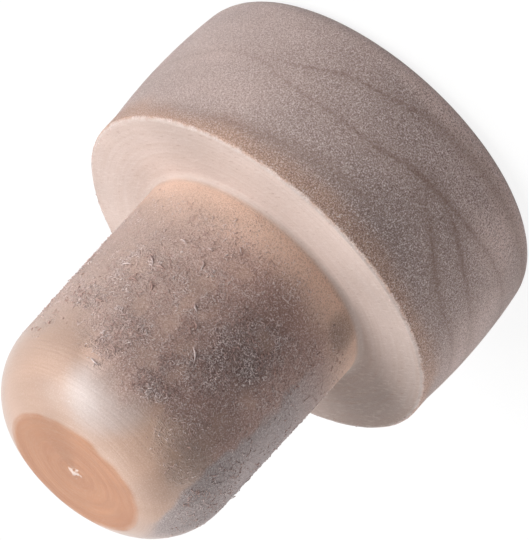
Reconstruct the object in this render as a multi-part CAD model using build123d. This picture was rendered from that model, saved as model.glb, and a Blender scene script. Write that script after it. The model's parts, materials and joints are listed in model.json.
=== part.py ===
from build123d import *

import os
from math import sqrt

# Wine stopper turned in one piece from a pale hardwood: a barrelled head, a flat seat that
# comes down on the bottle's lip, and a tapered stem with a rounded nose and a faced tip.
# It stands on the flat top of its head with the stem up. The origin is the centre of that
# flat face, and +Z is the axis that the piece was turned about.

# Head, in millimetres
head_height = 13.8          # from the flat top to the seat
rim_diameter = 30.0         # over the lip band beside the seat
lip_height = 1.9            # of the straight lip band
top_inset = 0.37            # of the wall at the flat top, from the lip band, on each side
barrel_radius = 44.0        # of the wall's bulge between the flat top and the lip band
top_edge_radius = 1.8
rim_chamfer = 0.2           # the sharp corner between lip band and seat, broken with paper

# Stem
stem_length = 20.5          # from the seat to the tip face
stem_root_diameter = 19.0   # just above the bevel at the root
stem_tip_diameter = 18.55   # where the taper would meet the plane of the tip face
root_bevel_width = 0.45     # of the bevel that the tool's corner leaves at the root, over the seat
root_bevel_height = 0.5     # of the same bevel, up the wall
nose_radius = 5.7
tip_face_diameter = 11.1    # smaller than the nose would leave, so its edge is a faint arris

# Low conical pip that parting off leaves at the middle of the tip face
pip_diameter = 0.8
pip_height = 0.12


def nose_arc(wall_foot, wall_end, tip_edge):
    """The nose: an arc that leaves the tapered wall without a corner and ends at the tip's edge.

    Its centre lies one nose radius inside the wall and one nose radius from the tip's edge.
    """
    along = (wall_end - wall_foot).normalized()
    inward = Vector(-along.Y, along.X)
    offset = wall_foot + inward * nose_radius - tip_edge
    slide = offset.dot(along)
    reach = sqrt(nose_radius**2 - offset.dot(offset) + slide**2)
    centre = tip_edge + offset - along * (slide + reach)
    wall_point = centre - inward * nose_radius
    middle = ((wall_point - centre) + (tip_edge - centre)).normalized()
    return wall_point, ThreePointArc(wall_point, centre + middle * nose_radius, tip_edge)


def nearest(section, corner):
    """The section's own corner at that point."""
    return section.vertices().sort_by_distance(corner)[0]


def half_section():
    """Half of the stopper's section: x is the distance from the axis, y the height."""
    rim_radius = rim_diameter / 2
    tip_height = head_height + stem_length

    top_edge = Vector(rim_radius - top_inset, 0)
    lip_start = Vector(rim_radius, head_height - lip_height)
    rim_edge = Vector(rim_radius, head_height)
    bevel_foot = Vector(stem_root_diameter / 2 + root_bevel_width, head_height)
    stem_foot = Vector(stem_root_diameter / 2, head_height + root_bevel_height)
    stem_end = Vector(stem_tip_diameter / 2, tip_height)
    tip_edge = Vector(tip_face_diameter / 2, tip_height)
    pip_edge = Vector(pip_diameter / 2, tip_height)
    pip_top = Vector(0, tip_height + pip_height)

    nose_start, nose = nose_arc(stem_foot, stem_end, tip_edge)
    outline = [
        Line((0, 0), top_edge),
        RadiusArc(top_edge, lip_start, -barrel_radius),
        Line(lip_start, rim_edge),
        Line(rim_edge, bevel_foot),
        Line(bevel_foot, stem_foot),
        Line(stem_foot, nose_start),
        nose,
        Line(tip_edge, pip_edge),
        Line(pip_edge, pip_top),
        Line(pip_top, (0, 0)),
    ]
    section = make_face(outline)
    section = fillet(nearest(section, top_edge), top_edge_radius)
    return chamfer(nearest(section, rim_edge), rim_chamfer)


stopper = revolve(Plane.XZ * half_section(), axis=Axis.Z)

os.makedirs("parts", exist_ok=True)
export_step(stopper, "parts/stopper.step")
print("stopper", stopper.bounding_box(), "volume", round(stopper.volume, 1), "mm3")
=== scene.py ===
# %% [markdown]
# # A turned wine stopper
# The stopper is one piece of pale maple, turned on a lathe: a barrelled head, a flat seat that
# comes down on the bottle's lip, and a tapered stem with a rounded, waxed nose. The solid model
# holds its true sizes. This script gives it the skin that a lathe, sandpaper and wax leave on
# maple, lights it as in a small studio and looks at it from the side of its seat.

# %% Open the solid model
import json
from math import cos, pi, radians, sin, sqrt

import bpy
import numpy as np
from mathutils import Matrix, Vector


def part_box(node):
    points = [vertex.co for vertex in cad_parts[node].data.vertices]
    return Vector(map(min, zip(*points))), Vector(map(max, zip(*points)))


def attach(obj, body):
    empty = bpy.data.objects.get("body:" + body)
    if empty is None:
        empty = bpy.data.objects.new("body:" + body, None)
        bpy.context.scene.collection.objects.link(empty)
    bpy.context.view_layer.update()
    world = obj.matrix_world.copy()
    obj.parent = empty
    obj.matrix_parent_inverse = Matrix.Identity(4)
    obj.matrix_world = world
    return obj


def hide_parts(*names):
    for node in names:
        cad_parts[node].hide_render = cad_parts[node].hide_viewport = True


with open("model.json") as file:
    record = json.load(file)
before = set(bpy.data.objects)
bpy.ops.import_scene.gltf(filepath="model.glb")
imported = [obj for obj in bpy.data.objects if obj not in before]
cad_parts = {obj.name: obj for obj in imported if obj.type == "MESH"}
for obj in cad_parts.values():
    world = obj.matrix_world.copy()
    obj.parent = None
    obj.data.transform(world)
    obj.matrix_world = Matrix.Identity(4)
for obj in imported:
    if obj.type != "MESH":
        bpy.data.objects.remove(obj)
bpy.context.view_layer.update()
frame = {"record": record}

MM = 0.001
low, high = (np.array(corner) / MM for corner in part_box("stopper"))
mounts = {mount["name"]: mount for mount in frame["record"]["mounts"]}
print("stopper, mm:", low.round(2), "to", high.round(2), "mounts:", sorted(mounts))

# %% [markdown]
# ## Sizes
# The seat's height comes from the model's own mount, and the others repeat the sizes that the
# piece was turned to, in millimetres. The pip on the tip stands at the top of the model's box.

# %% Name the sizes
seat_height = mounts["seat"]["pos_m"][2] / MM
rim_radius = 15.0
lip_height = 1.9
top_inset = 0.37
barrel_radius = 44.0
top_edge_radius = 1.8
rim_chamfer = 0.2
root_radius = 9.5
root_bevel_width, root_bevel_height = 0.45, 0.5
stem_end_radius = 9.275
nose_radius = 5.7
tip_radius = 5.55
pip_radius, pip_height = 0.4, 0.12
tip_height = high[2] - pip_height
print("seat at", round(seat_height, 2), "mm, tip face at", round(tip_height, 2), "mm")

# %% [markdown]
# ## The section
# A turned piece is one outline carried round an axis, so the outline comes first. Each stretch
# is a straight line or an arc, cut into short steps, and every row of the mesh gets the stretch
# that it belongs to. That is how the finishes find their places later.


# %% Lines and arcs of the outline
def line(start, end, steps):
    """Points from start towards end: start + (end - start) * t, for t from 0 up to 1 without 1."""
    t = np.linspace(0, 1, steps, endpoint=False)[:, None]
    return np.array(start) + (np.array(end) - np.array(start)) * t


def arc(centre, radius, start, end, steps):
    """Points centre + radius * (cos, sin) of the angle, the short way from start to end."""
    first, final = (np.arctan2(*(np.array(point) - centre)[::-1]) for point in (start, end))
    t = first + ((final - first + pi) % (2 * pi) - pi) * np.arange(steps) / steps
    return np.array(centre) + radius * np.stack([np.cos(t), np.sin(t)], 1)


# %% Centres of the three arcs
wall_top = np.array([rim_radius - top_inset, 0.0])
lip_start = np.array([rim_radius, seat_height - lip_height])
chord = lip_start - wall_top
half = np.linalg.norm(chord) / 2
inward = np.array([-chord[1], chord[0]]) / (2 * half)
barrel_centre = (wall_top + lip_start) / 2 + inward * sqrt(barrel_radius**2 - half**2)

# The top edge touches the flat top from above and the barrel from inside.
reach = sqrt((barrel_radius - top_edge_radius) ** 2 - (top_edge_radius - barrel_centre[1]) ** 2)
edge_centre = np.array([barrel_centre[0] + reach, top_edge_radius])
edge_foot = np.array([edge_centre[0], 0.0])
out = edge_centre - barrel_centre
edge_end = barrel_centre + out / np.linalg.norm(out) * barrel_radius

# The nose leaves the tapered wall without a corner and ends at the rim of the tip face.
stem_foot = np.array([root_radius, seat_height + root_bevel_height])
stem_end = np.array([stem_end_radius, tip_height])
tip_edge = np.array([tip_radius, tip_height])
along = (stem_end - stem_foot) / np.linalg.norm(stem_end - stem_foot)
across = np.array([-along[1], along[0]])
offset = stem_foot + across * nose_radius - tip_edge
slide = offset @ along
nose_centre = tip_edge + offset - along * (
    slide + sqrt(nose_radius**2 - offset @ offset + slide**2)
)
nose_start = nose_centre - across * nose_radius
print("nose starts", round(nose_start[1] - seat_height, 2), "mm above the seat")

# %% Put the outline together
rim_low = (rim_radius, seat_height - rim_chamfer)
rim_high = (rim_radius - rim_chamfer, seat_height)

# The tool's worn corner leaves the bevel at the root as a small hollow of the bevel's width.
bevel_foot = (root_radius + root_bevel_width, seat_height)
root_centre = (root_radius + root_bevel_width, seat_height + root_bevel_width)
root_turn = (root_radius, seat_height + root_bevel_width)

# Each stretch ends with its number of steps: the shorter the step, the finer the detail there.
stretches = [
    ("top", line((0, 0), edge_foot, 10)),
    ("top edge", arc(edge_centre, top_edge_radius, edge_foot, edge_end, 10)),
    ("wall", arc(barrel_centre, barrel_radius, edge_end, lip_start, 60)),
    ("lip", line(lip_start, rim_low, 12)),
    ("rim", line(rim_low, rim_high, 5)),
    ("seat", line(rim_high, bevel_foot, 25)),
    ("root", arc(root_centre, root_bevel_width, bevel_foot, root_turn, 6)),
    ("stem", line(root_turn, nose_start, 78)),
    ("nose", arc(nose_centre, nose_radius, nose_start, tip_edge, 33)),
    ("tip", line(tip_edge, (pip_radius, tip_height), 14)),
    ("pip", line((pip_radius, tip_height), (0, tip_height + pip_height), 3)),
    ("pip", np.array([[0, tip_height + pip_height]])),
]
outline = np.concatenate([points for _, points in stretches])
zone = np.concatenate([[name] * len(points) for name, points in stretches])
travel = np.concatenate([[0], np.cumsum(np.linalg.norm(np.diff(outline, axis=0), axis=1))])
print(len(outline), "rows over", round(travel[-1], 1), "mm of outline")

# %% [markdown]
# ## Round the axis
# The mesh is a grid: one row for each point of the outline and one column for each of 384 steps
# round the axis. The angle is 0 on the side that faces the camera and grows towards +X.

# %% Carry the outline round the axis
COLUMNS = 384
angle = np.linspace(-pi, pi, COLUMNS, endpoint=False)
ring_r, ring_z = outline[1:-1, 0], outline[1:-1, 1]
place_of_row = zone[1:-1]
x = ring_r[:, None] * np.sin(angle)
y = -ring_r[:, None] * np.cos(angle)
z = np.repeat(ring_z[:, None], COLUMNS, 1)
grid = np.stack([x, y, z], -1)

step = np.gradient(outline, axis=0)[1:-1]
step /= np.linalg.norm(step, axis=1, keepdims=True)
normal_r, normal_z = step[:, 1], -step[:, 0]
normal = np.stack(
    [
        normal_r[:, None] * np.sin(angle),
        -normal_r[:, None] * np.cos(angle),
        np.repeat(normal_z[:, None], COLUMNS, 1),
    ],
    -1,
)
print("grid", grid.shape, "largest radius", round(float(ring_r.max()), 3), "mm")

# %% [markdown]
# ## Unevenness
# No turned piece is a perfect form. A smooth random field in space gives the slow waves that the
# tool leaves, and the torn and raised fibres. The field is the same on every run, because its
# random numbers come from the lattice points themselves.


# %% A smooth random field
def field(points, size, seed):
    """Value noise: random numbers on a lattice with cells of `size` mm, blended inside each cell
    by the smooth step 3t^2 - 2t^3 of the place in the cell. The result is between -1 and 1. The
    long whole numbers only scramble a lattice point's coordinates into its random number."""
    # The shift keeps the coordinates positive and gives each seed a lattice of its own.
    cell = points / size + 1000.0 + 17.31 * seed
    base = np.floor(cell).astype(np.int64)
    t = cell - base
    t = t * t * (3 - 2 * t)
    total = np.zeros(points.shape[:-1])
    for corner in np.ndindex(2, 2, 2):
        k = base + np.array(corner)
        mixed = k[..., 0] * 73856093 ^ k[..., 1] * 19349663 ^ k[..., 2] * 83492791 ^ seed * 2654435
        mixed = (mixed ^ (mixed >> 13)) * 1274126177 & 0xFFFFFFFF
        mixed = (mixed ^ (mixed >> 16)) * 668265263 & 0xFFFFFFFF
        value = (mixed & 0xFFFFFF) / 0xFFFFFF * 2 - 1
        share = np.where(np.array(corner) == 1, t, 1 - t).prod(-1)
        total += value * share
    return total


def smooth(value, start, end):
    """0 below start, 1 above end and the smooth step between; start may lie above end."""
    t = np.clip((value - start) / (end - start), 0, 1)
    return t * t * (3 - 2 * t)


print("field, spread:", round(float(field(grid, 2.0, 1).std()), 3))

# %% [markdown]
# ## Where the wood differs
# The blank's fibres run across the axis, so the wall shows end grain on two sides and long grain
# on the other two. End grain takes the sanding badly: it stays rougher and greyer. The nose is
# waxed, and the wax ends in an uneven border. A painter would mask such places one by one. Here
# each is a number on the mesh's points, which the material reads by name.

# %% Fibre direction and end grain
fibre_angle = radians(-27)
fibre = np.array([-sin(fibre_angle), cos(fibre_angle), 0.0])
end_grain = (normal @ fibre) ** 2
degrees_round = np.degrees(angle)
above_seat = z - seat_height
radius = np.repeat(ring_r[:, None], COLUMNS, 1)
on_head = above_seat < 0.05
on_stem = (above_seat > 0.01) * 1.0
print("end grain faces", round(np.degrees(fibre_angle)), "degrees from the camera's side")


# %% A closed curve round the axis
def round_curve(points):
    """A closed curve through (degrees, value) points: a cubic between neighbours, whose slope at
    each point is the mean slope of the two stretches that meet there."""
    known = np.array(points, float)
    known = known[known[:, 0].argsort()]
    degrees = np.concatenate([known[:, 0] - 360, known[:, 0], known[:, 0] + 360])
    value = np.tile(known[:, 1], 3)
    slope = np.gradient(value, degrees)
    i = np.clip(np.searchsorted(degrees, degrees_round, "right") - 1, 0, len(degrees) - 2)
    width = degrees[i + 1] - degrees[i]
    t = (degrees_round - degrees[i]) / width
    return (
        value[i] * (1 + 2 * t) * (1 - t) ** 2
        + slope[i] * width * t * (1 - t) ** 2
        + value[i + 1] * t**2 * (3 - 2 * t)
        + slope[i + 1] * width * t**2 * (t - 1)
    )


# %% Finishes of the head, the root and the tip
def from_to(name):
    """Distance in mm along the outline from a stretch's first row; below 0 before that row."""
    start = travel[1:-1][place_of_row == name][0]
    return np.repeat((travel[1:-1] - start)[:, None], COLUMNS, 1)


RIM_MIDDLE = 0.14  # mm along the outline, from the start of the broken corner to its middle
seat_skin = smooth(from_to("rim"), 0.0, 0.25) * smooth(from_to("root"), 0.9, 0.4)
tip_skin = smooth(from_to("tip") + 0.15 * field(grid, 1.2, 8), -0.3, 0.15)
# A paler, warmer band at the root of the stem: in part the wood's own colour, in part painted light
# bounced up from the lit seat.
root_tint_and_bounce = smooth(above_seat + 0.9 * field(grid, 3.5, 9), 5.0, 0.6)
root_tint_and_bounce = root_tint_and_bounce * smooth(above_seat, -0.1, 0.1)
lip_warmth = smooth(from_to("rim") + 0.6 * field(grid, 2.5, 10), -2.2, -0.1) * on_head
rim_line = smooth(abs(from_to("rim") - RIM_MIDDLE), 0.24, 0.05)
print("share of the skin that is seat:", round(float(seat_skin.mean()), 2))

# %% Wax on the nose, and the stripe that it missed, with a painted reflection in its grey-blue
# The border's points are (degrees round, mm above the seat).
wax_border = round_curve([
    (-150, 15.5), (-100, 15.0), (-60, 13.6), (-45, 12.6), (-25, 12.9), (-12, 15.6), (3, 16.7),
    (23, 16.6), (33, 15.2), (45, 13.7), (64, 13.5), (95, 14.6), (135, 15.8),
])
ragged = 0.7 * field(grid, 2.0, 5) + 0.5 * field(grid, 0.7, 6)
lower_side = smooth(degrees_round, -8, -30) * smooth(degrees_round, -80, -60)
wax = smooth(above_seat - wax_border - 1.5 * lower_side + ragged, -1.0, 2.4 + 2.0 * lower_side)

# The stripe's edge: degrees round for each height above the seat.
stripe_edge = np.interp(
    above_seat,
    [0, 6, 11, 13.6, 16.3, 18, 19.4, 20.2],
    [-58, -53, -50, -51, -43, -49, -60, -78],
)
side = degrees_round + 5 * field(grid, 2.2, 11) + 2.5 * field(grid, 0.8, 12) - stripe_edge
stripe = smooth(side, 2, -3) * smooth(degrees_round + 8 * field(grid, 2.0, 47), -122, -76)
# The grey-blue of this stripe along the stem's lower right edge is in part a painted reflection of
# the white surroundings at grazing angles.
grey_stripe_and_reflection = stripe * on_stem * smooth(above_seat, 2.0, 9.0) * smooth(above_seat, 20.3, 19.6)
wax = wax * (1 - grey_stripe_and_reflection)
print("share of the skin under the haze:", round(float(grey_stripe_and_reflection.mean()), 3))


# %% Spots of wax on the stem, and a painted highlight on the nose
def degrees_from(turn):
    """Degrees round the axis from turn, between -180 and 180."""
    return (degrees_round - turn + 180) % 360 - 180


def oval_at(turn, rise, half_turn, half_rise, level):
    """1 in the middle of an oval on the wall, 0 on its edge and less outside it: 1 - a^2 - h^2,
    where a is the degrees from turn over half_turn, and h the mm from rise over half_rise."""
    return 1 - (degrees_from(turn) / half_turn) ** 2 - ((level - rise) / half_rise) ** 2


# Degrees round, mm above the seat, half width in degrees, half height in mm.
spots = [
    (13, 11.3, 5, 1.7), (14, 8.9, 4, 1.0), (3, 8.8, 4, 0.9), (1, 11.8, 5, 1.0),
    (15, 7.4, 7, 1.1), (-33, 14.4, 8, 1.6), (-23, 7.1, 5, 1.0), (43, 8.6, 7, 0.7),
    (9, 14.3, 7, 0.9), (-3, 13.9, 4, 1.0), (6, 4.8, 8, 0.8), (-36, 10.9, 5, 1.0),
    (28, 11.4, 4, 1.0), (120, 9.0, 12, 2.0), (-170, 12.0, 12, 1.5),
]
spot_edge = 0.9 * field(grid, 0.7, 45) + 0.6 * field(grid, 0.3, 46)
spot = np.zeros(radius.shape)
for place in spots:
    spot = np.maximum(spot, smooth(oval_at(*place, above_seat) + spot_edge, -0.2, 1.1))
wax = np.maximum(wax, 0.35 * spot)
# A painted highlight: a whitish veil on the nose where the softboxes' highlight falls.
nose_highlight_paint = 0.7 * wax * (1 - tip_skin) * smooth(oval_at(14, 18.1, 27, 2.6, above_seat), 0, 0.9)
polish = wax * (1 - tip_skin) * (0.85 - 0.6 * lower_side)
print("share of the skin that is waxed:", round(float(wax.mean()), 2))

# %% Paler and darker patches: painted light and painted shade, and tone that differs at random
# Degrees round, mm above the flat top, half width, half height, and how much paler it is.
# Most of these are painted light and painted shade. The head's top edge and far right are paler, as
# painted light from below. The lower right of the stem's root is darker, as a painted shadow. The
# stem and nose are paler or darker as painted light and shade.
light_and_tone_patches = [
    # head
    (-36, 3.0, 34, 3.6, 0.9), (-25, 0.9, 60, 1.7, 1.0), (30, 15.5, 60, 2.5, 0.3),
    (-28, 1.0, 45, 2.4, 1.3), (-46, 4.2, 14, 3.0, 0.8), (-15, 10.0, 16, 2.5, -0.3),
    (-68, 8.0, 20, 5.0, 0.9), (-20, 11.6, 30, 2.4, -0.4), (70, 9.0, 30, 3.0, -0.25),
    (140, 6.0, 40, 3.0, 0.4),
    # stem and nose
    (12, 18.6, 26, 3.2, 0.95), (-20, 23.2, 18, 3.4, -0.6), (38, 27.2, 12, 2.2, 0.5),
    (27, 29.4, 12, 2.6, 1.3), (9, 29.9, 10, 1.8, 0.4), (-50, 15.2, 14, 1.8, -1.6),
    (-33, 27.4, 15, 2.6, -0.7), (-20, 21.5, 18, 5.0, -0.5), (-35, 31.0, 18, 2.2, -0.9),
    (-5, 25.0, 14, 3.2, -0.5), (48, 33.7, 42, 1.4, -0.6), (-42, 33.0, 16, 1.6, -0.5),
    (-29, 23.6, 10, 2.6, -0.5), (-68, 28.0, 14, 7.0, 0.5), (-140, 22.0, 30, 5.0, -0.4),
]
# The two fields give tone that differs at random, and the patches add painted light and shade to
# it.
tone_and_painted_light = 0.35 * field(grid * [1, 1, 2.0], 4.5, 41) + 0.15 * field(grid, 1.8, 42)
for *place, paler in light_and_tone_patches:
    tone_and_painted_light = tone_and_painted_light + paler * smooth(oval_at(*place, z), 0, 1) * (1 - seat_skin)
# On the seat: paler towards about 36 degrees round, and seat_shade, a painted shadow of the stem on
# the side at about -100 degrees.
seat_shade = smooth(abs(degrees_from(-100)) + 6 * field(grid, 1.5, 43), 46, 8)
tone_and_painted_light = tone_and_painted_light + seat_skin * (0.65 * smooth(abs(degrees_from(36)), 78, 36) - 0.9 * seat_shade)
print("tone runs from", round(float(tone_and_painted_light.min()), 2), "to", round(float(tone_and_painted_light.max()), 2))

# %% Patches of raised fibres
# Degrees round, mm above the seat, half width, half height, strength.
tufts = [
    (8, 9.5, 62, 8.0, 0.4), (0, 15.2, 12, 2.1, 1.0), (-13, 12.0, 14, 2.3, 0.9),
    (-19, 8.0, 19, 3.1, 0.85), (10, 8.2, 15, 3.1, 0.6), (24, 4.6, 15, 2.0, 0.35),
    (42, 8.6, 21, 2.3, 0.6), (26, 14.0, 11, 2.7, 0.85), (55, 12.3, 13, 1.4, 0.7),
    (66, 15.0, 9, 1.6, 0.4), (-42, 6.0, 14, 3.0, 0.5), (100, 8.0, 25, 4.0, 0.6),
    (150, 11.0, 25, 4.0, 0.6), (-160, 6.0, 25, 4.0, 0.6), (-110, 10.0, 20, 4.0, 0.4),
    (-24, 16.2, 17, 2.5, 0.55), (-37, 16.8, 12, 2.2, 0.4), (-62, 16.5, 14, 4.2, 0.45),
]
wander = 0.45 * field(grid, 1.6, 21) + 0.4 * field(grid * [1, 1, 2], 0.7, 22)
raised = 0.18 * smooth(above_seat, 0.8, 2.5) * (1 - wax) * on_stem
for *place, strength in tufts:
    tuft = smooth(oval_at(*place, above_seat) + wander, -0.1, 0.55)
    raised = np.maximum(raised, strength * tuft)
onto_nose = smooth(from_to("nose") - 1.6 * smooth(degrees_round, -5, -20), 3.2, 1.5)
raised *= on_stem * onto_nose * (1 - 0.65 * spot)
print("share of the skin with raised fibres:", round(float(raised.mean()), 2))

# %% How dry, how gritty and how clearly tooled each place is
dry = (1 - 0.7 * np.maximum(wax, tip_skin)) * (1 - 0.7 * seat_skin)
calm_stem = (1 - 0.3 * on_stem * (1 - raised)) * (1 - 0.3 * root_tint_and_bounce)
grit = dry * (0.5 + 0.5 * end_grain) * calm_stem
tooled = np.maximum(0.7 * seat_skin, np.maximum(wax * (1 - 0.6 * lower_side), tip_skin))
flat_skin = np.maximum(seat_skin, (place_of_row == "top")[:, None] * 1.0)
print("mean grit:", round(float(grit.mean()), 2))

# %% [markdown]
# ## Growth rings
# The year rings lie almost square to the axis, so each one meets the wall in a thin dark line
# that wanders round the head. Three of them run together on the camera's side. A line is given
# by a few heights round the axis, joined by a smooth closed curve.


# %% Lines round the head
# Each point is (degrees round, height in mm, strength of the fine line, and of the soft band).
ring_lines = {
    "main": [
        (-150, 4.4, 0.3, 0.2), (-100, 4.6, 0.4, 0.2), (-57, 4.8, 0.5, 0.3), (-35, 5.7, 0.8, 0.5),
        (-26, 6.0, 1.0, 0.7), (-10, 6.6, 0.9, 0.6), (-2, 7.2, 0.7, 0.4), (10, 7.4, 0.7, 0.2),
        (32, 7.1, 0.5, 0.1), (40, 6.5, 0.35, 0.1), (52, 6.5, 0.3, 0.1), (68, 7.5, 0.3, 0.1),
        (100, 7.8, 0.4, 0.3), (150, 6.0, 0.5, 0.3),
    ],
    "left": [
        (-150, 9.2, 0.4, 0.2), (-100, 8.6, 0.4, 0.2), (-55, 8.15, 0.45, 0.3),
        (-41, 7.5, 0.9, 0.4), (-30, 6.6, 0.8, 0.5), (-23, 6.2, 0.0, 0.3), (0, 6.2, 0.0, 0.0),
        (60, 6.4, 0.0, 0.0), (120, 8.4, 0.4, 0.3),
    ],
    "lower": [
        (-150, 12.0, 0.3, 0.3), (-100, 11.2, 0.4, 0.2), (-60, 10.5, 0.5, 0.3),
        (-46, 10.6, 0.6, 0.5), (-34, 9.5, 0.7, 0.7), (-24, 8.0, 0.4, 0.5), (-12, 7.4, 0.0, 0.0),
        (60, 9.0, 0.0, 0.0), (120, 11.2, 0.3, 0.3),
    ],
    "upper": [
        (-150, 1.2, 0.3, 0.3), (-100, 1.4, 0.3, 0.3), (-65, 1.8, 0.3, 0.5), (-20, 2.3, 0.3, 0.7),
        (-5, 2.8, 0.6, 0.5), (7, 3.7, 0.8, 0.3), (18, 4.3, 0.9, 0.2), (29, 5.5, 0.7, 0.1),
        (34, 5.85, 0.4, 0.0), (48, 5.6, 0.0, 0.0), (110, 3.4, 0.3, 0.3),
    ],
    "foot": [
        (-150, 13.0, 0.0, 0.2), (-60, 12.0, 0.0, 0.1), (-10, 10.6, 0.0, 0.2), (2, 10.9, 0.1, 0.6),
        (15, 11.3, 0.1, 0.6), (32, 12.0, 0.2, 0.6), (45, 12.4, 0.1, 0.3), (100, 13.0, 0.1, 0.3),
    ],
}
ring_marks = {}
for name, points in ring_lines.items():
    points = np.array(points)
    height, fine, soft = (round_curve(points[:, [0, k]]) for k in (1, 2, 3))
    mean_height = height.mean()

    # Towards the axis a ring flattens out to its mean height.
    bend = (radius / rim_radius) ** 1.5
    gap = z - (mean_height + (height - mean_height) * bend)
    strengths = [np.clip(fine, 0, 1) * on_head, np.clip(soft, 0, 1) * on_head]
    ring_marks[name] = np.stack([gap, *strengths], -1)
print("growth lines:", ", ".join(ring_lines))

# %% Move the points
# All in mm: slow tool waves, the oval of a dried blank, raised fibres, the torn rim and the pip.
wave = 0.014 * field(grid, 5.0, 31) + 0.007 * field(grid * [1, 1, 2.0], 1.7, 32)
oval = 0.02 * np.cos(2 * (angle - fibre_angle)) * radius / rim_radius
fibres = raised * (0.016 * field(grid * [1, 1, 1.8], 0.75, 33) + 0.010)
torn = rim_line * (0.035 * field(grid, 0.55, 34) + 0.025 * field(grid, 1.6, 35) - 0.02)
pip_tear = (place_of_row == "pip")[:, None] * 0.04 * field(grid, 0.35, 36)

# The flat top stays flat, because the stopper stands on it.
lift = (wave + oval) * smooth(z, 0.0, 1.5) + fibres + torn + pip_tear
grid = grid + normal * lift[..., None]
print("points move by", round(float(lift.min()), 3), "to", round(float(lift.max()), 3), "mm")

# %% [markdown]
# ## The mesh
# The grid's neighbours become four-sided faces, and a fan of triangles closes each pole. The
# enclosed volume is printed; it is positive when the faces point outwards.

# %% Build the mesh
rows = len(ring_r)
index = 1 + np.arange(rows * COLUMNS).reshape(rows, COLUMNS)
beside = np.roll(index, -1, axis=1)
quads = np.stack([index[:-1], beside[:-1], beside[1:], index[1:]], -1).reshape(-1, 4)
last = 1 + rows * COLUMNS
start_fan = np.stack([np.zeros(COLUMNS, int), beside[0], index[0]], -1)
end_fan = np.stack([np.full(COLUMNS, last), index[-1], beside[-1]], -1)
poles = [[[0, 0, outline[0, 1]]], [[0, 0, outline[-1, 1]]]]
points = np.concatenate([poles[0], grid.reshape(-1, 3), poles[1]])

halves = np.concatenate([quads[:, [0, 1, 2]], quads[:, [0, 2, 3]], start_fan, end_fan])
a, b, c = points[halves].transpose(1, 0, 2)
volume = (a * np.cross(b, c)).sum() / 6
wood_mesh = bpy.data.meshes.new("stopper_wood")
faces = quads.tolist() + start_fan.tolist() + end_fan.tolist()
wood_mesh.from_pydata((points * MM).tolist(), [], faces)
wood_mesh.validate()
wood_mesh.polygons.foreach_set("use_smooth", np.ones(len(wood_mesh.polygons), bool))
wood = bpy.data.objects.new("stopper_wood", wood_mesh)
bpy.context.scene.collection.objects.link(wood)
print(len(halves), "triangles, volume", round(float(volume)), "mm3")


# %% Numbers for the material
def keep(name, values):
    """Store one number or vector per point under a name; each pole takes its row's mean."""
    width = values.shape[2:]
    flat = [values[0].mean(0)[None], values.reshape(-1, *width), values[-1].mean(0)[None]]
    kind, slot = ("FLOAT_VECTOR", "vector") if width else ("FLOAT", "value")
    data = wood_mesh.attributes.new(name, kind, "POINT").data
    data.foreach_set(slot, np.concatenate(flat).astype(np.float32).ravel())


stored = {
    "end_grain": end_grain, "wax": wax, "seat_skin": seat_skin, "tip_skin": tip_skin,
    "root_tint_and_bounce": root_tint_and_bounce, "lip_warmth": lip_warmth, "rim_line": rim_line, "grey_stripe_and_reflection": grey_stripe_and_reflection,
    "raised": raised, "on_stem": on_stem, "tone_and_painted_light": tone_and_painted_light, "polish": polish,
    "dry": dry, "grit": grit, "tooled": tooled, "nose_highlight_paint": nose_highlight_paint, "flat_skin": flat_skin,
}
for name, values in stored.items():
    keep(name, np.broadcast_to(values, radius.shape))
for name, marks in ring_marks.items():
    keep("ring_" + name, marks)
print("stored", len(stored), "numbers and", len(ring_marks), "vectors per point")

# %% [markdown]
# ## Loose fibres
# Sandpaper and damp lift single fibres off the wood. Their pale curls catch the light in the
# patches on the stem and along the torn rim. Hair particles could stand for them, but a curl has
# both ends in the wood. So each one is a thin spindle: three rings of three points along a bent
# line, and a point at each end.


# %% Choose the places of the slivers
def scatter(weight, count, draw):
    """Draw places on the skin, with a chance that grows with weight times the face's area. Each is
    a grid point moved by up to one step along the row and up the outline. Gives the place, the
    normal there and the direction round the axis."""
    area = ring_r[:-1, None] * np.diff(travel[1:-1])[:, None]
    chance = (weight[:-1] * area).ravel()
    picked = draw.choice(chance.size, count, p=chance / chance.sum())
    i, j = np.divmod(picked, COLUMNS)
    up, along_row = draw.random((2, count, 1))
    here, above, beside = grid[i, j], grid[i + 1, j], grid[i, (j + 1) % COLUMNS]
    round_axis = np.stack([np.cos(angle[j]), np.sin(angle[j]), 0 * angle[j]], 1)
    return here + (above - here) * up + (beside - here) * along_row, normal[i, j], round_axis


# %% The form of a sliver
RING = 3  # points in each of its three rings
SLIVER_POINTS = 1 + 3 * RING + 1
SINK = 0.03  # mm that its ends lie under the skin


def slivers(start, finish, out, bow, thick, rise):
    """Points of the spindles: the middle line is start + (finish - start) * t, plus a bow of
    4t(1-t) sideways and a rise of the same arch outwards, less a little that sinks the ends."""
    run = finish - start
    aside = np.cross(out, run)
    aside /= np.linalg.norm(aside, axis=1, keepdims=True)
    t = np.array([0, 0.2, 0.5, 0.8, 1])[:, None]
    arch = 4 * t * (1 - t)
    middle = (
        start[:, None] + run[:, None] * t
        + aside[:, None] * (bow[:, None] * arch) + out[:, None] * (rise[:, None] * arch - SINK)
    )
    spin = 2 * pi * np.arange(RING) / RING
    ring = aside[:, None] * np.cos(spin)[:, None] + out[:, None] * np.sin(spin)[:, None]
    wide = np.array([0.75, 1.0, 0.7])[:, None, None]
    rings = middle[:, 1:4, None] + ring[:, None] * (wide * thick[:, None, None])
    return np.concatenate([middle[:, :1], rings.reshape(len(run), 3 * RING, 3), middle[:, 4:]], 1)


print("a sliver has", SLIVER_POINTS, "points")

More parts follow.
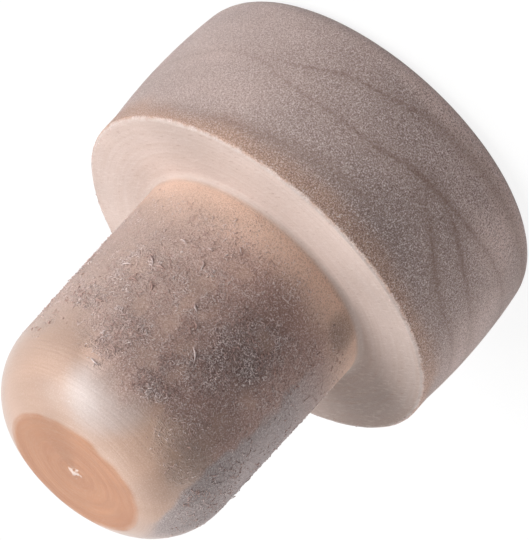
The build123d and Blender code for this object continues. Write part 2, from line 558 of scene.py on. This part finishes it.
# %% Many short slivers, drawn at random
draw = np.random.default_rng(7)
loose = [
    # weight on the skin, how many, mean length, radius and rise in mm
    (raised**1.4 * (1 - 0.8 * wax), 6400, 0.23, 0.032, 0.055),
    ((1 - wax) * on_stem * smooth(above_seat, 0.6, 2.0) * (1 - tip_skin), 2600, 0.15, 0.022, 0.02),
    (rim_line, 350, 0.2, 0.026, 0.025),
]
spindles = []
for weight, count, *sizes in loose:
    spread = np.exp(draw.normal(0, [0.35, 0.2, 0.4], (count, 3)))
    length, thick, rise = (spread * sizes).T[..., None]
    place, out, round_axis = scatter(weight, count, draw)
    turn = draw.uniform(0, pi, (count, 1))
    reach = (round_axis * np.cos(turn) + np.cross(out, round_axis) * np.sin(turn)) * length / 2
    bow = draw.normal(0, 0.5, (count, 1)) * length
    spindles.append(slivers(place - reach, place + reach, out, bow, thick, rise))
print(sum(len(group) for group in spindles), "short slivers")

# %% A few long curls: degrees and mm above the seat at both ends, bow in mm
curls = np.array([
    (43, 7.4, 37, 8.2, 0.1), (37, 8.1, 31, 8.0, 0.1), (36, 5.4, 32, 5.4, 0.1),
    (30, 5.3, 26, 5.1, -0.1), (23, 5.0, 20, 4.9, 0.1), (22, 5.9, 19, 6.6, 0.25),
    (43, 9.9, 37, 9.8, 0.1), (52, 9.0, 45, 8.7, 0.1), (49, 12.3, 44, 12.3, -0.1),
    (7, 10.1, 3, 10.6, 0.3), (11, 8.8, 7, 9.3, -0.15), (13, 3.3, 9, 3.8, -0.1),
    (33, 9.3, 29, 10.0, 0.1), (26, 15.1, 22, 15.5, 0.1), (30, 16.6, 24, 16.8, -0.1),
    (-1, 11.5, -6, 12.3, 0.1),
])
CURL_THICK, CURL_RISE = 0.075, 0.16  # radius and rise in mm
stem_rows = np.isin(place_of_row, ("stem", "nose"))
curl_ends = []
for turn, rise in (curls[:, 0:2].T, curls[:, 2:4].T):
    turn = np.radians(turn)
    reach = np.interp(rise, ring_z[stem_rows] - seat_height, ring_r[stem_rows])
    curl_end = [reach * np.sin(turn), -reach * np.cos(turn), seat_height + rise]
    curl_ends.append(np.stack(curl_end, 1))
out = (curl_ends[0] + curl_ends[1]) * [1, 1, 0]
out /= np.linalg.norm(out, axis=1, keepdims=True)
alike = np.ones((len(curls), 1))
spindles.append(slivers(*curl_ends, out, curls[:, 4:], CURL_THICK * alike, CURL_RISE * alike))
spindles = np.concatenate(spindles)
print(len(spindles), "slivers, none lower than", round(float(spindles[..., 2].min()), 2), "mm")

# %% Build the slivers
first, final = 0, SLIVER_POINTS - 1
rings = (1, 1 + RING, 1 + 2 * RING)
fans = [[first, rings[0] + (k + 1) % RING, rings[0] + k] for k in range(RING)]
fans += [[final, rings[2] + k, rings[2] + (k + 1) % RING] for k in range(RING)]
sides = [
    [near + k, near + (k + 1) % RING, far + (k + 1) % RING, far + k]
    for near, far in zip(rings, rings[1:]) for k in range(RING)
]
start = SLIVER_POINTS * np.arange(len(spindles))[:, None, None]
faces = (start + np.array(fans)).reshape(-1, 3).tolist()
faces += (start + np.array(sides)).reshape(-1, 4).tolist()
fuzz_mesh = bpy.data.meshes.new("raised_fibres")
fuzz_mesh.from_pydata((spindles.reshape(-1, 3) * MM).tolist(), [], faces)
fuzz_mesh.validate()
fuzz_mesh.polygons.foreach_set("use_smooth", np.ones(len(fuzz_mesh.polygons), bool))
fuzz = bpy.data.objects.new("raised_fibres", fuzz_mesh)
bpy.context.scene.collection.objects.link(fuzz)
print("raised fibres:", len(fuzz_mesh.polygons), "faces")

# %% A flat map with one cell per sliver, so that each sliver has room of its own
cells = int(np.ceil(np.sqrt(len(spindles))))
corner = np.empty(len(fuzz_mesh.loops), np.int32)
fuzz_mesh.loops.foreach_get("vertex_index", corner)
sliver, point = np.divmod(corner, SLIVER_POINTS)
u = np.array([0, 0.25, 0.25, 0.25, 0.5, 0.5, 0.5, 0.75, 0.75, 0.75, 1])[point]
v = np.array([0.5, 0, 0.5, 1, 0, 0.5, 1, 0, 0.5, 1, 0.5])[point]
cell = np.stack([sliver % cells, sliver // cells], 1)
flat_map = (cell + 0.05 + 0.9 * np.stack([u, v], 1)) / cells
layer = fuzz_mesh.uv_layers.new(name="OFBake")
layer.uv.foreach_set("vector", flat_map.astype(np.float32).ravel())
print("the map has", cells, "cells on each side")

# %% [markdown]
# ## The material
# Bare maple that was turned, sanded and waxed at the nose. Raw maple is a pale, slightly pink
# wood with a dull surface. A photograph of wood could be laid over the form, but it would show
# its seams on a turned piece. So the colours are mixed from noise in the wood's own space, and
# they are written as sRGB hex and turned linear once.


# %% Colour and node helpers
def linear(code):
    """sRGB hex to linear RGB: s / 12.92 below 0.04045, else ((s + 0.055) / 1.055) to the 2.4."""
    parts = [int(code[i : i + 2], 16) / 255 for i in (1, 3, 5)]
    parts = [s / 12.92 if s <= 0.04045 else ((s + 0.055) / 1.055) ** 2.4 for s in parts]
    return (*parts, 1.0)


def add(tree, kind, inputs=None, out=0, **settings):
    """Add one node. Settings are its properties; inputs are its sockets by name or number, each
    with a value or the output of a node that was added before. Returns the output with the name
    or number out, all outputs if out is None, or the node itself where it has none."""
    made = tree.nodes.new(kind)
    for name, value in settings.items():
        setattr(made, name, value)
    for name, value in (inputs or {}).items():
        if isinstance(value, bpy.types.NodeSocket):
            tree.links.new(value, made.inputs[name])
        else:
            made.inputs[name].default_value = value
    if not made.outputs:
        return made
    return made.outputs if out is None else made.outputs[out]


MATH, MIX, RANGE = "ShaderNodeMath", "ShaderNodeMix", "ShaderNodeMapRange"
VECTOR, NOISE = "ShaderNodeVectorMath", "ShaderNodeTexNoise"

# A mix of two colours: the numbers of its sockets, and what it is told.
SHARE, FIRST, SECOND = 0, 6, 7
COLOUR = {"out": 2, "data_type": "RGBA"}
maple = bpy.data.materials.new("turned_maple")
maple.use_nodes = True
tree = maple.node_tree
tree.nodes.clear()
wood.data.materials.append(maple)
number = {name: add(tree, "ShaderNodeAttribute", attribute_name=name, out="Fac") for name in stored}
print("maple reads", len(number), "numbers")

# %% Coordinates in millimetres: square, along the fibres, round the axis
# Noise on `long` is drawn out 4.5 times along the fibres. Noise on `spun` changes 4.5 times per
# mm across the rings that the tool leaves, and hardly at all round the axis.
LONG, RINGS_PER_MM, ROUND = 0.22, 4.5, 1.6
at = add(tree, "ShaderNodeTexCoord", out="Object")
mm = add(tree, VECTOR, {0: at, "Scale": 1 / MM}, operation="SCALE")
turn_round = (0, 0, -pi / 2 - fibre_angle)
turned = add(tree, "ShaderNodeMapping", {"Vector": mm, "Rotation": turn_round})
long = add(tree, "ShaderNodeMapping", {"Vector": turned, "Scale": (LONG, 1, 1)})
level = add(tree, VECTOR, {0: mm, 1: (1, 1, 0)}, operation="MULTIPLY")
from_axis = add(tree, VECTOR, {0: level}, operation="LENGTH", out="Value")
outward = add(tree, VECTOR, {0: level}, operation="NORMALIZE")
outward = add(tree, VECTOR, {0: outward, "Scale": ROUND}, operation="SCALE")
apart = add(tree, "ShaderNodeSeparateXYZ", {"Vector": mm}, out=None)
spun = add(tree, MATH, {0: apart["Z"], 1: from_axis}, operation="SUBTRACT")
spun = add(tree, MATH, {0: spun, 1: RINGS_PER_MM}, operation="MULTIPLY")
spun = add(tree, "ShaderNodeCombineXYZ", {"Z": spun})
spun = add(tree, VECTOR, {0: spun, 1: outward}, operation="ADD")
print("coordinates:", len(tree.nodes) - len(number), "nodes")

# %% Colour of each place
# Long grain is pale. End grain drinks more of whatever touches it, so it is darker and greyer.
# Where a share is 1, the colour of the place covers all that was mixed before.
places = {
    "root_tint_and_bounce": "#F0CDB8",  # the root: paler and warmer, in part the wood's own colour and in part painted light bounced up from the lit seat
    "lip_warmth": "#CCA793",  # the lip, warmed by the friction of turning
    "seat_skin": "#C5B3AB",  # the freshly faced seat
    "wax": "#BD9C89",  # wax deepens the wood's own colour
    "nose_highlight_paint": "#B9AEAC",  # painted highlight: a whitish veil on the nose where the softboxes' highlight falls
    "grey_stripe_and_reflection": "#AEA09D",  # greyer, bluer stripe where the wax is missing, in part a painted reflection of the white surroundings
    "tip_skin": "#B37F5F",  # end of the stem, soaked with wax
}
head_grain = {FIRST: linear("#C7B1A9"), SECOND: linear("#B6A098")}
stem_grain = {FIRST: linear("#C6AA9D"), SECOND: linear("#AC897D")}
skin = add(tree, MIX, {SHARE: number["end_grain"], **head_grain}, **COLOUR)
stem = add(tree, MIX, {SHARE: number["end_grain"], **stem_grain}, **COLOUR)
skin = add(tree, MIX, {SHARE: number["on_stem"], FIRST: skin, SECOND: stem}, **COLOUR)
for name, code in places.items():
    skin = add(tree, MIX, {SHARE: number[name], FIRST: skin, SECOND: linear(code)}, **COLOUR)
# The random tone and the painted light and shade of the patches scale the colour.
light_and_tone_scale = add(tree, RANGE, {
    "Value": number["tone_and_painted_light"], "From Min": -2, "From Max": 2, "To Min": 0.4, "To Max": 1.6,
})
skin = add(tree, VECTOR, {0: skin, "Scale": light_and_tone_scale}, operation="SCALE")
print("places with a colour of their own:", ", ".join(places))

# %% [markdown]
# ## Torn rim
# Where the seat meets the lip, the tool tears the ends off a few fibres, and the broken ends are
# nearly white. They could be painted by hand. A noise that is cut off at a level breaks one pale
# line into short pieces instead, as the wood does.

# %% Torn rim: pieces about 0.6 mm long
tear = add(tree, NOISE, {"Vector": mm, "Scale": 1.6, "Detail": 3})
tear = add(tree, RANGE, {
    "Value": tear, "From Min": 0.4, "From Max": 0.56, "To Min": 0.0, "To Max": 0.4,
})
tear = add(tree, MATH, {0: tear, 1: number["rim_line"]}, operation="MULTIPLY")
skin = add(tree, MIX, {SHARE: tear, FIRST: skin, SECOND: linear("#E9DFDC")}, **COLOUR)
print("torn rim mixed in:", len(tree.nodes), "nodes")

# %% [markdown]
# ## Sanded fibre ends
# Sandpaper leaves the ends of the cut fibres standing: some catch the light and some hold dust.
# From close by this is a fine salt and pepper over the whole wall. Relief alone would hardly show
# in soft light, so one noise gives both the relief and its two colours: pale fibre ends with
# painted glints of light, and dark specks of dust.

# %% Speckle, drawn 0.1 mm wide, coarser than in maple, so that it shows
SPECKS_PER_MM = 9.0
SAND_HEIGHT = 0.07  # mm
speck = add(tree, NOISE, {
    "Vector": mm, "Scale": SPECKS_PER_MM, "Detail": 3, "Roughness": 0.75,
})
light = add(tree, RANGE, {
    "Value": speck, "From Min": 0.55, "From Max": 0.62, "To Min": 0, "To Max": 1.0,
})
light = add(tree, MATH, {0: light, 1: number["grit"]}, operation="MULTIPLY")
dark = add(tree, RANGE, {
    "Value": speck, "From Min": 0.5, "From Max": 0.4, "To Min": 0, "To Max": 0.8,
})
dark = add(tree, MATH, {0: dark, 1: number["grit"]}, operation="MULTIPLY")
# Pale specks: pale fibre ends with painted glints of light. Dark specks: dust.
skin = add(tree, MIX, {SHARE: light, FIRST: skin, SECOND: linear("#EDE1DF")}, **COLOUR)
skin = add(tree, MIX, {SHARE: dark, FIRST: skin, SECOND: linear("#765B55")}, **COLOUR)
sand = add(tree, MATH, {0: speck, 1: SAND_HEIGHT}, operation="MULTIPLY")
sand = add(tree, MATH, {0: sand, 1: number["dry"]}, operation="MULTIPLY")
print("speckle:", SPECKS_PER_MM, "specks per mm, up to", SAND_HEIGHT, "mm high")

# %% [markdown]
# ## Growth lines
# The last cells that a year adds are darker, so each ring shows as a thin brown line in a soft
# band. A wave texture would run too evenly. The mesh already knows how far each point is from
# each line, so the material only frays that distance and draws the line where it is small.

# %% What frays and breaks the lines
fray = add(tree, NOISE, {"Vector": mm, "Scale": 2.2, "Detail": 3})
frayed = add(tree, RANGE, {
    "Value": fray, "From Min": 0, "From Max": 1, "To Min": -0.25, "To Max": 0.25,
})
broken = add(tree, NOISE, {"Vector": mm, "Scale": 1.1, "Detail": 2})
broken = add(tree, RANGE, {
    "Value": broken, "From Min": 0.3, "From Max": 0.6, "To Min": 0.35, "To Max": 1,
})
print("lines stray by up to 0.25 mm")

# %% Draw each line and its band
FINE, SOFT = 0.3, 1.1  # mm from the middle, at which a line and a band have faded out
LINE_SHARE, BAND_SHARE = 0.46, 0.6
lines = bands = None
for name in ring_lines:
    mark = add(tree, "ShaderNodeAttribute", attribute_name="ring_" + name, out="Vector")
    mark = add(tree, "ShaderNodeSeparateXYZ", {"Vector": mark}, out=None)
    gap = add(tree, MATH, {0: mark["X"], 1: frayed}, operation="ADD")
    near = add(tree, MATH, {0: gap}, operation="ABSOLUTE")
    drawn = []
    for half_width, share in ((FINE, mark["Y"]), (SOFT, mark["Z"])):
        limits = {"From Min": 0.0, "From Max": half_width, "To Min": 1, "To Max": 0}
        shape = {"interpolation_type": "SMOOTHSTEP"}
        stroke = add(tree, RANGE, {"Value": near, **limits}, **shape)
        drawn.append(add(tree, MATH, {0: stroke, 1: share}, operation="MULTIPLY"))
    fine, soft = drawn
    lines = fine if lines is None else add(tree, MATH, {0: lines, 1: fine}, operation="MAXIMUM")
    bands = soft if bands is None else add(tree, MATH, {0: bands, 1: soft}, operation="MAXIMUM")
lines = add(tree, MATH, {0: lines, 1: broken}, operation="MULTIPLY")
lines = add(tree, MATH, {0: lines, 1: LINE_SHARE}, operation="MULTIPLY")
bands = add(tree, MATH, {0: bands, 1: BAND_SHARE}, operation="MULTIPLY")
skin = add(tree, MIX, {SHARE: bands, FIRST: skin, SECOND: linear("#957B6E")}, **COLOUR)
skin = add(tree, MIX, {SHARE: lines, FIRST: skin, SECOND: linear("#7A5747")}, **COLOUR)
print(len(ring_lines), "growth lines mixed in")

# %% [markdown]
# ## Wrinkles of raised fibres
# Under the loose curls the skin itself is wrinkled: pale folds with dark cracks between them. They
# are too many and too small to model one by one, so their light and shade are partly painted: a
# painted highlight on the pale tops and painted shade in the cracks. A noise comes close to 0.5
# along thin winding lines, so the folds are drawn there, and the cracks where the noise is low.

# %% Wrinkles, each about 0.3 mm long round the stem and 0.2 mm high
FOLD_HEIGHT, FOLD_PALE_AND_HIGHLIGHT = 0.07, 0.25  # height in mm
wrinkle_at = add(tree, "ShaderNodeMapping", {"Vector": mm, "Scale": (3.2, 3.2, 5.0)})
wrinkle = add(tree, NOISE, {"Vector": wrinkle_at, "Scale": 1.0, "Detail": 2, "Distortion": 0.6})
fold = add(tree, MATH, {0: wrinkle, 1: 0.5}, operation="SUBTRACT")
fold = add(tree, MATH, {0: fold}, operation="ABSOLUTE")
fold = add(tree, RANGE, {
    "Value": fold, "From Min": 0.0, "From Max": 0.14, "To Min": 1, "To Max": 0,
})
fold = add(tree, MATH, {0: fold, 1: number["raised"]}, operation="MULTIPLY")
ridge = add(tree, MATH, {0: fold, 1: FOLD_HEIGHT}, operation="MULTIPLY")
# Pale tops of the folds: pale raised fibre with a painted highlight.
pale = add(tree, MATH, {0: fold, 1: FOLD_PALE_AND_HIGHLIGHT}, operation="MULTIPLY")
skin = add(tree, MIX, {SHARE: pale, FIRST: skin, SECOND: linear("#E3D5D2")}, **COLOUR)
# Painted shade in the cracks between the folds.
crevice_shade = add(tree, RANGE, {
    "Value": wrinkle, "From Min": 0.47, "From Max": 0.33, "To Min": 0, "To Max": 0.42,
})
crevice_shade = add(tree, MATH, {0: crevice_shade, 1: number["raised"]}, operation="MULTIPLY")
skin = add(tree, MIX, {SHARE: crevice_shade, FIRST: skin, SECOND: linear("#6B4C44")}, **COLOUR)
print("wrinkles mixed in:", len(tree.nodes), "nodes")

# %% [markdown]
# ## Marks of the tool
# The seat, the nose and the tip are left as the tool cut them, with fine rings round the axis.
# Noise in coordinates that hardly change round the axis gives rings that come and go, as real
# ones do. The flat faces also show streaks and open pores along the grain, and the tip shows
# darker arcs.

# %% Rings that the tool left, 0.2 mm apart
GROOVE_DEPTH = 0.035  # mm
track = add(tree, NOISE, {"Vector": spun, "Scale": 1.0, "Detail": 2})
grooves = add(tree, MATH, {0: track, 1: number["tooled"]}, operation="MULTIPLY")
grooves = add(tree, MATH, {0: grooves, 1: GROOVE_DEPTH}, operation="MULTIPLY")
ring_tone = add(tree, RANGE, {
    "Value": track, "From Min": 0.35, "From Max": 0.65, "To Min": 0.0, "To Max": 0.2,
})
ring_tone = add(tree, MATH, {0: ring_tone, 1: number["tooled"]}, operation="MULTIPLY")
skin = add(tree, MIX, {SHARE: ring_tone, FIRST: skin, SECOND: linear("#A98770")}, **COLOUR)
print("tool rings,", RINGS_PER_MM, "per mm")

# %% Streaks and pores along the fibres, 0.2 mm wide, coarser than in maple, so that they show
streak = add(tree, NOISE, {"Vector": long, "Scale": 6.0, "Detail": 2})
pores = add(tree, RANGE, {
    "Value": streak, "From Min": 0.64, "From Max": 0.74, "To Min": 0, "To Max": 0.4,
})
pores = add(tree, MATH, {0: pores, 1: number["flat_skin"]}, operation="MULTIPLY")
skin = add(tree, MIX, {SHARE: pores, FIRST: skin, SECOND: linear("#9E7B6C")}, **COLOUR)
pale = add(tree, RANGE, {
    "Value": streak, "From Min": 0.45, "From Max": 0.3, "To Min": 0, "To Max": 0.25,
})
pale = add(tree, MATH, {0: pale, 1: number["flat_skin"]}, operation="MULTIPLY")
skin = add(tree, MIX, {SHARE: pale, FIRST: skin, SECOND: linear("#E0D4CE")}, **COLOUR)
print("streaks and pores mixed in:", len(tree.nodes), "nodes")

# %% Darker arcs on the tip, three times as wide as the rings
swirl = add(tree, VECTOR, {0: spun, "Scale": 0.32}, operation="SCALE")
swirl = add(tree, NOISE, {"Vector": swirl, "Scale": 1.0, "Detail": 4, "Distortion": 0.6})
swirl = add(tree, RANGE, {
    "Value": swirl, "From Min": 0.4, "From Max": 0.65, "To Min": 0, "To Max": 0.4,
})
swirl = add(tree, MATH, {0: swirl, 1: number["tip_skin"]}, operation="MULTIPLY")
skin = add(tree, MIX, {SHARE: swirl, FIRST: skin, SECOND: linear("#9F6B50")}, **COLOUR)
print("arcs on the tip mixed in:", len(tree.nodes), "nodes")

# %% [markdown]
# ## Torn middle of the tip
# Parting off ends with a few fibres torn out at the very middle. The low pip is in the mesh
# already. The pale broken fibres on it are a small ball of colour with a ragged edge, because a
# noise is added to the distance from its middle.

# %% The torn star of fibres, about 0.8 mm across
STAR_MIDDLE = (0.1, -0.05, tip_height)  # mm
star_at = add(tree, VECTOR, {0: mm, 1: STAR_MIDDLE}, operation="SUBTRACT")
star_far = add(tree, VECTOR, {0: star_at}, operation="LENGTH", out="Value")
star_edge = add(tree, NOISE, {"Vector": star_at, "Scale": 2.2, "Detail": 2})
star_edge = add(tree, RANGE, {
    "Value": star_edge, "From Min": 0.3, "From Max": 0.7, "To Min": -0.45, "To Max": 0.45,
})
star_far = add(tree, MATH, {0: star_far, 1: star_edge}, operation="ADD")
star = add(tree, RANGE, {
    "Value": star_far, "From Min": 0.5, "From Max": 0.25, "To Min": 0, "To Max": 0.62,
})
skin = add(tree, MIX, {SHARE: star, FIRST: skin, SECOND: linear("#F2E6DF")}, **COLOUR)
print("star at the tip mixed in:", len(tree.nodes), "nodes")

# %% Surface relief and the shader
# Sanded end grain scatters light, so it is rough. Buffed wax fills it and adds a soft coat.
relief = add(tree, MATH, {0: sand, 1: ridge}, operation="ADD")
relief = add(tree, MATH, {0: relief, 1: grooves}, operation="ADD")
bump = add(tree, "ShaderNodeBump", {"Height": relief, "Distance": MM, "Strength": 1.0})
rough = add(tree, RANGE, {
    "Value": number["wax"], "From Min": 0, "From Max": 1, "To Min": 0.62, "To Max": 0.33,
})
wood_shader = add(tree, "ShaderNodeBsdfPrincipled", {
    "Base Color": skin, "Roughness": rough, "Normal": bump, "IOR": 1.5,
    "Specular IOR Level": 0.25, "Sheen Weight": 0.15, "Sheen Roughness": 0.25,
    "Sheen Tint": (0.8, 0.88, 1, 1), "Coat Weight": number["polish"], "Coat Roughness": 0.38,
})
add(tree, "ShaderNodeOutputMaterial", {"Surface": wood_shader})
print("turned maple:", len(tree.nodes), "nodes")

# %% Material of the loose fibres: the same maple with nothing rubbed into it, so it stays pale
pale_maple = bpy.data.materials.new("torn_maple_fibre")
pale_maple.use_nodes = True
tree = pale_maple.node_tree
tree.nodes.clear()
at = add(tree, "ShaderNodeTexCoord", out="Object")
mottle = add(tree, NOISE, {"Vector": at, "Scale": 900.0, "Detail": 1})
mottle = add(tree, RANGE, {
    "Value": mottle, "From Min": 0.4, "From Max": 0.6, "To Min": 0, "To Max": 1,
})
fibre_tints = {FIRST: linear("#C8A69C"), SECOND: linear("#EBDAD6")}
tint = add(tree, MIX, {SHARE: mottle, **fibre_tints}, **COLOUR)
sliver_look = {"Base Color": tint, "Roughness": 0.5, "IOR": 1.5}
sliver_shader = add(tree, "ShaderNodeBsdfPrincipled", sliver_look)
add(tree, "ShaderNodeOutputMaterial", {"Surface": sliver_shader})
fuzz.data.materials.append(pale_maple)
print("torn maple fibre:", len(tree.nodes), "nodes")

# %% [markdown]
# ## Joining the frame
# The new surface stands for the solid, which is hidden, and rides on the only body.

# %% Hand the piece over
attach(wood, "root")
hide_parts("stopper")
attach(fuzz, "root")
print("stopper_wood replaces stopper, and raised_fibres lies on it")

# %% [markdown]
# ## Floor and surroundings
# A white table and white walls. What the camera and gloss see of them is white, and what lights
# the piece is a mid grey, so that the dark side stays dark. The table keeps the soft shadow.

# %% What the camera, gloss and glass see
def seen_rays(tree):
    """1 for rays that the camera, a gloss or a clear material sends out, and 0 for all others."""
    path = add(tree, "ShaderNodeLightPath", out=None)
    seen = add(tree, MATH, {
        0: path["Is Camera Ray"], 1: path["Is Glossy Ray"],
    }, operation="MAXIMUM")
    return add(tree, MATH, {0: seen, 1: path["Is Transmission Ray"]}, operation="MAXIMUM")


# %% White table
HALF_TABLE = 2.0  # metres
floor_mesh = bpy.data.meshes.new("table")
table_corners = [(-1, -1), (1, -1), (1, 1), (-1, 1)]
table_corners = [(HALF_TABLE * x, HALF_TABLE * y, 0) for x, y in table_corners]
floor_mesh.from_pydata(table_corners, [], [(0, 1, 2, 3)])
floor = bpy.data.objects.new("table", floor_mesh)
bpy.context.scene.collection.objects.link(floor)
paint = bpy.data.materials.new("matt_white_table")
paint.use_nodes = True
tree = paint.node_tree
tree.nodes.clear()
glow = add(tree, "ShaderNodeEmission", {"Color": (1, 1, 1, 1), "Strength": 0.88})
shade = add(tree, "ShaderNodeBsdfDiffuse", {"Color": (0.13, 0.13, 0.13, 1)})
white = add(tree, "ShaderNodeAddShader", {0: glow, 1: shade})
grey = add(tree, "ShaderNodeBsdfDiffuse", {"Color": (0.55, 0.55, 0.57, 1)})
table = add(tree, "ShaderNodeMixShader", {0: seen_rays(tree), 1: grey, 2: white})
add(tree, "ShaderNodeOutputMaterial", {"Surface": table})
floor_mesh.materials.append(paint)
print("table:", 2 * HALF_TABLE, "m square")

# %% White walls
SEEN_WALLS, LIGHT_OF_WALLS = 1.0, 0.02
world = bpy.data.worlds.new("studio")
bpy.context.scene.world = world
world.use_nodes = True
tree = world.node_tree
tree.nodes.clear()
limits = {"From Min": 0, "From Max": 1, "To Min": LIGHT_OF_WALLS, "To Max": SEEN_WALLS}
strength = add(tree, RANGE, {"Value": seen_rays(tree), **limits})
walls = add(tree, "ShaderNodeBackground", {"Color": (1, 1, 1, 1), "Strength": strength})
add(tree, "ShaderNodeOutputWorld", {"Surface": walls})
print("walls light the piece with strength", LIGHT_OF_WALLS)

# %% [markdown]
# ## Light
# One large softbox stands to the right of the stopper, above its seat, with two lesser ones
# beside it. Boxes behind and to the left lift that edge. Each box is given by its direction
# from the stopper, by how bright it is and by the length of its side.

# %% Softboxes
middle = Vector((0, 0, 17)) * MM
BOX_DISTANCE, USUAL_SIDE = 0.45, 0.30  # metres
softboxes = {
    # degrees round, degrees up, brightness of a box of the usual side, side in metres
    "key_high": (90, 60, 4.5, 0.30), "key_front": (58, 46, 4.3, 0.24),
    "key_low": (90, 12, 0.8, 0.30), "left": (-107, 12, 3.4, 0.30),
    "behind": (-150, 60, 2.6, 0.30),
}
for name, (turn, rise, brightness, side) in softboxes.items():
    a, e = radians(turn), radians(rise)
    toward = Vector((sin(a) * cos(e), -cos(a) * cos(e), sin(e)))
    lamp = bpy.data.lights.new(name, "AREA")
    lamp.size = side
    lamp.energy = brightness * pi * USUAL_SIDE**2
    box = bpy.data.objects.new(name, lamp)
    box.location = middle + toward * BOX_DISTANCE
    box.rotation_euler = toward.to_track_quat("Z", "Y").to_euler()
    bpy.context.scene.collection.objects.link(box)
print(len(softboxes), "softboxes")

# %% [markdown]
# ## Camera
# The photograph was taken with a long lens from 25 degrees above the seat, with the camera
# rolled so that the stem points to the lower left. The camera's place was worked out from the
# outline of the turned form in the photograph.

# %% Camera
elevation, roll = radians(24.816), radians(137.63)
distance, focal_pixels = 428.6 * MM, 6013.0
aim_right, aim_up = 10.23, 5.87  # pixels from the seat's centre to the picture's middle
PICTURE_SIDE, SENSOR = 540, 36.0  # the longer side in pixels, and the same side in mm

scene = bpy.context.scene
seat = Vector((0, 0, seat_height)) * MM
back = Vector((0, -cos(elevation), sin(elevation)))
level = (-back).cross(Vector((0, 0, 1))).normalized()
turn = Matrix.Rotation(roll, 3, -back)
right, up = turn @ level, turn @ level.cross(-back)
eye = seat + back * distance
aim = seat + (right * aim_right + up * aim_up) * (distance / focal_pixels)
look = (aim - eye).normalized()
right = (right - look * right.dot(look)).normalized()
up = right.cross(look)
lens = bpy.data.cameras.new("camera")
lens.sensor_width = SENSOR
lens.lens = SENSOR * focal_pixels / PICTURE_SIDE
camera = bpy.data.objects.new("camera", lens)
camera.matrix_world = Matrix((
    (right.x, up.x, -look.x, eye.x),
    (right.y, up.y, -look.y, eye.y),
    (right.z, up.z, -look.z, eye.z),
    (0, 0, 0, 1),
))
scene.collection.objects.link(camera)
scene.camera = camera
scene.view_settings.view_transform = "Standard"
print("lens", round(lens.lens), "mm at", round(distance / MM), "mm")
